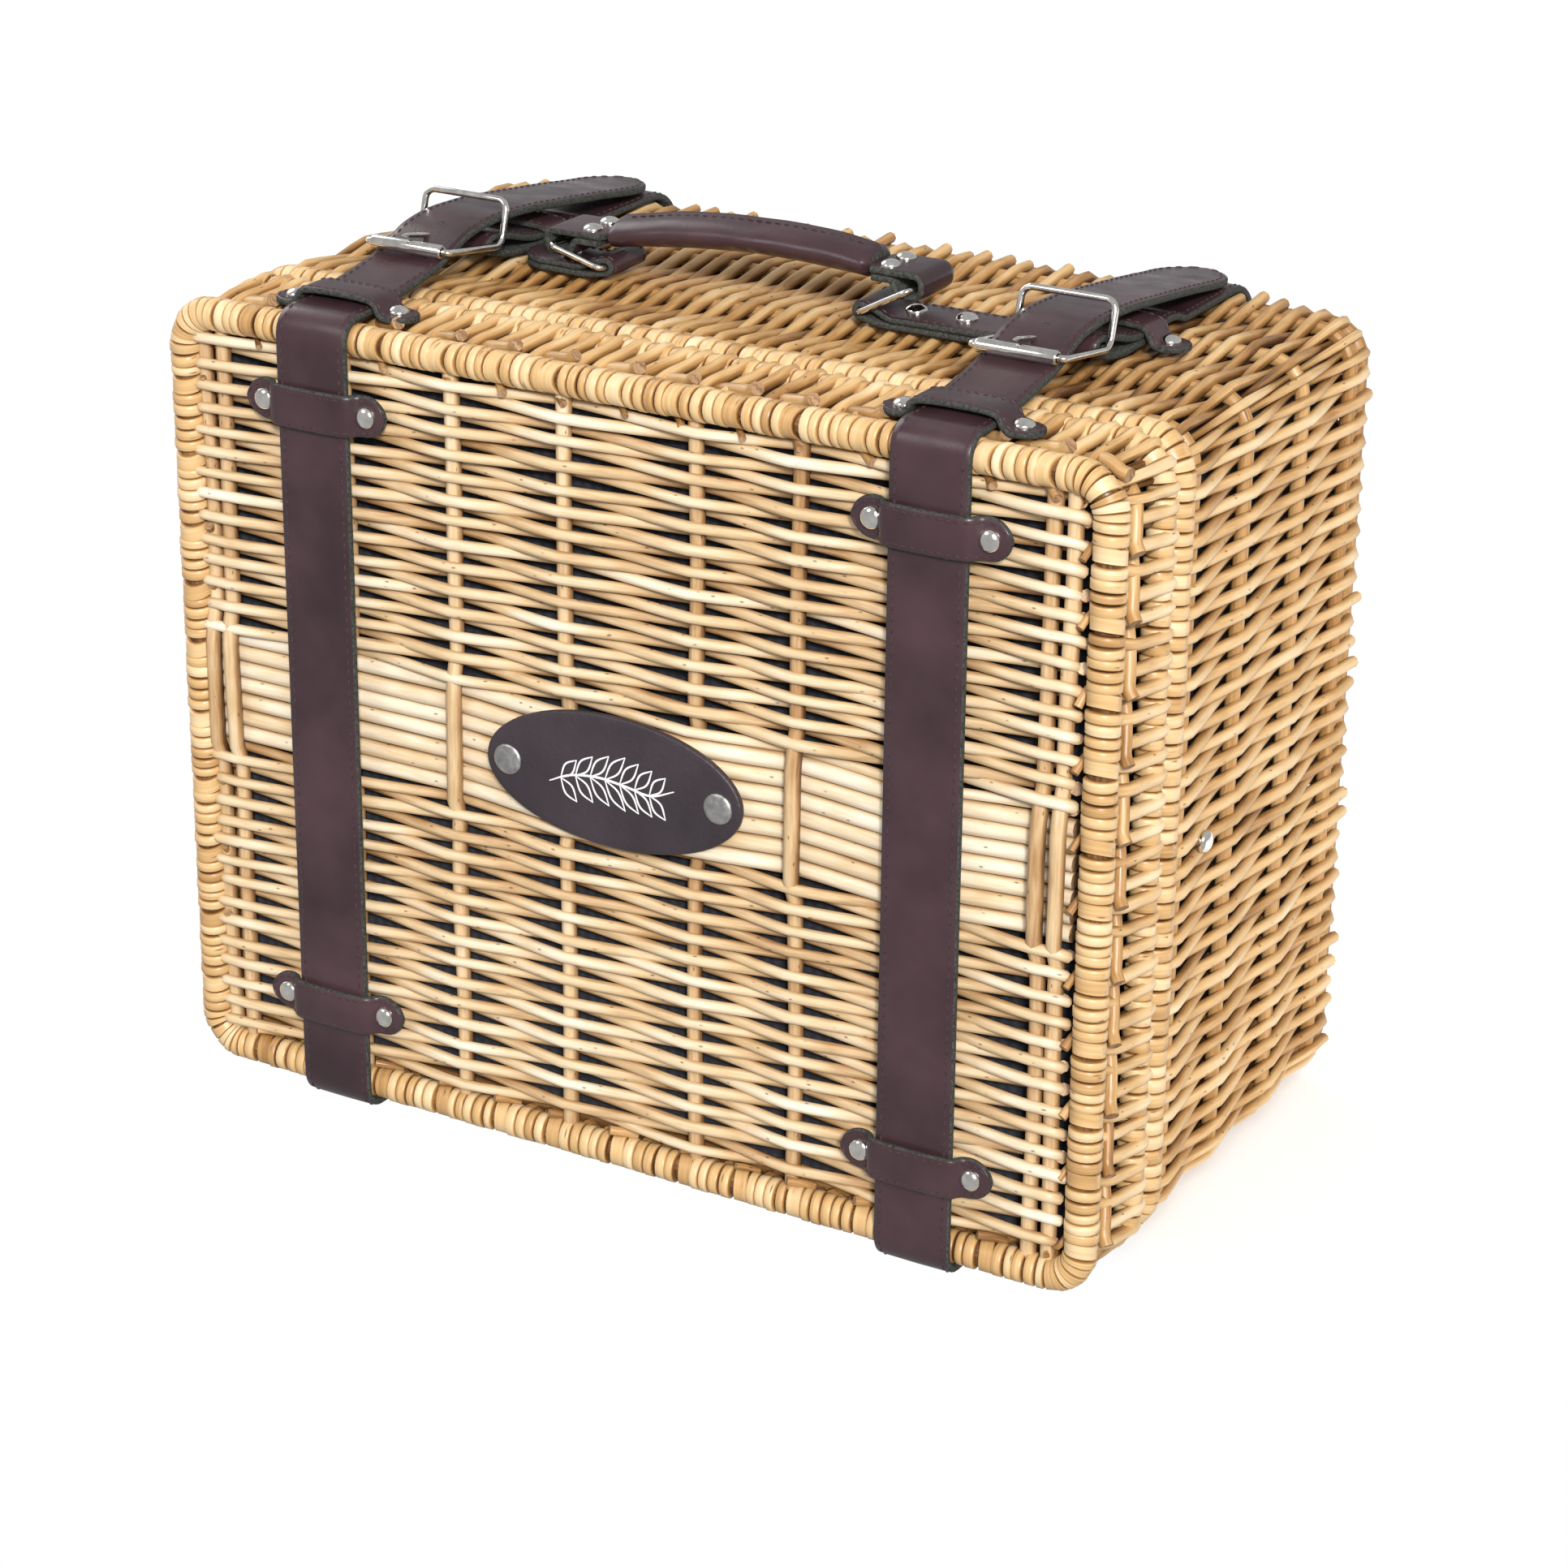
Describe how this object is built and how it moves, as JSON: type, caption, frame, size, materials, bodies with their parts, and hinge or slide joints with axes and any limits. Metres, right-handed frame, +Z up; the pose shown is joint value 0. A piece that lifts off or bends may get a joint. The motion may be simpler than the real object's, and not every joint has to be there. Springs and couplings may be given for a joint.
{
  "type": "wicker picnic hamper",
  "caption": "Woven willow suitcase hamper standing on its hinge side, with a hinged lid, leather belts with roller buckles, a padded handle and a fabric lining.",
  "frame": {"origin": "middle of the underside of the bounding box, on the surface the hamper stands on", "axes": "+X along the width, +Y from the lid face to the back panel, +Z up"},
  "size_m": [0.4032, 0.2364, 0.3505],
  "materials": {
    "willow_weave": "buff willow rods, satin, plain weave",
    "willow_border": "buff willow skeins wrapped over a rod core, satin",
    "lining": "matt navy-black woven cotton",
    "belt_leather": "dark brown smooth leather, semi-gloss, edge stitched",
    "badge_leather": "dark grained leatherette",
    "nickel": "bright nickel plate",
    "antique_nickel": "dull antique nickel"
  },
  "bodies": {
    "case": {"body_rim_roll": "willow_border", "body_side_wall": "willow_weave", "body_back_panel": "willow_weave", "body_lining": "lining", "belt_back_left": "belt_leather", "belt_back_right": "belt_leather", "keeper_rear_left": "belt_leather", "keeper_rear_right": "belt_leather", "rivet_rear_left_a": "nickel", "rivet_rear_left_b": "nickel", "rivet_rear_right_a": "nickel", "rivet_rear_right_b": "nickel", "handle_patch_left": "belt_leather", "handle_patch_right": "belt_leather", "rivet_patch_left_a": "nickel", "rivet_patch_right_a": "nickel", "rivet_patch_right_b": "nickel", "rivet_side_left": "nickel", "rivet_side_right": "nickel"},
    "lid": {"lid_front_roll": "willow_border", "lid_face_panel": "willow_weave", "lid_side_wall": "willow_weave", "lid_lining": "lining", "belt_front_left": "belt_leather", "belt_front_right": "belt_leather", "keeper_lower_left": "belt_leather", "keeper_lower_right": "belt_leather", "keeper_upper_left": "belt_leather", "keeper_upper_right": "belt_leather", "keeper_top_left": "belt_leather", "keeper_top_right": "belt_leather", "rivet_lower_left_a": "nickel", "rivet_lower_left_b": "nickel", "rivet_lower_right_a": "nickel", "rivet_lower_right_b": "nickel", "rivet_upper_left_a": "nickel", "rivet_upper_left_b": "nickel", "rivet_upper_right_a": "nickel", "rivet_upper_right_b": "nickel", "rivet_top_left_a": "nickel", "rivet_top_left_b": "nickel", "rivet_top_right_a": "nickel", "rivet_top_right_b": "nickel", "badge_plate": "badge_leather", "rivet_badge_left": "antique_nickel", "rivet_badge_right": "antique_nickel"},
    "handle": {"handle_strap": "belt_leather", "handle_grip": "belt_leather", "rivet_handle_left_front": "nickel", "rivet_handle_left_back": "nickel", "rivet_handle_right_front": "nickel", "rivet_handle_right_back": "nickel"},
    "ring_left": {"handle_ring_left": "nickel"},
    "frame_left": {"buckle_frame_left": "nickel"},
    "roller_left": {"buckle_roller_left": "nickel"},
    "prong_left": {"buckle_prong_left": "nickel"},
    "ring_right": {"handle_ring_right": "nickel"},
    "frame_right": {"buckle_frame_right": "nickel"},
    "roller_right": {"buckle_roller_right": "nickel"},
    "prong_right": {"buckle_prong_right": "nickel"}
  },
  "joints": [
    {"name": "lid_hinge", "type": "hinge", "parent": "case", "child": "lid", "pos_m": [0, -0.06215, 0.0013], "axis": [1, 0, 0], "range_deg": [0, 105]},
    {"name": "handle_lift", "type": "slide", "parent": "case", "child": "handle", "axis": [0, 0, 1], "range_m": [0, 0.0065]},
    {"name": "ring_hinge_left", "type": "hinge", "parent": "case", "child": "ring_left", "pos_m": [-0.0685, 0.00325, 0.3246], "axis": [0, 1, 0], "range_deg": [0, 20]},
    {"name": "ring_hinge_right", "type": "hinge", "parent": "case", "child": "ring_right", "pos_m": [0.0425, 0.00325, 0.3246], "axis": [0, -1, 0], "range_deg": [0, 20]},
    {"name": "buckle_tilt_left", "type": "hinge", "parent": "case", "child": "frame_left", "pos_m": [-0.129, -0.01675, 0.3287], "axis": [-1, 0, 0], "range_deg": [0, 4]},
    {"name": "roller_spin_left", "type": "hinge", "parent": "frame_left", "child": "roller_left", "pos_m": [-0.129, -0.05175, 0.334], "axis": [1, 0, 0], "continuous": true},
    {"name": "prong_swing_left", "type": "hinge", "parent": "frame_left", "child": "prong_left", "pos_m": [-0.129, -0.01675, 0.3287], "axis": [-1, 0, 0], "range_deg": [0, 6]},
    {"name": "buckle_tilt_right", "type": "hinge", "parent": "case", "child": "frame_right", "pos_m": [0.129, -0.01675, 0.3287], "axis": [-1, 0, 0], "range_deg": [0, 4]},
    {"name": "roller_spin_right", "type": "hinge", "parent": "frame_right", "child": "roller_right", "pos_m": [0.129, -0.05175, 0.334], "axis": [1, 0, 0], "continuous": true},
    {"name": "prong_swing_right", "type": "hinge", "parent": "frame_right", "child": "prong_right", "pos_m": [0.129, -0.01675, 0.3287], "axis": [-1, 0, 0], "range_deg": [0, 6]}
  ],
  "couplings": [
    {"joint": "ring_hinge_left", "follows": "handle_lift", "rad_per_m": 53},
    {"joint": "ring_hinge_right", "follows": "handle_lift", "rad_per_m": 53}
  ]
}
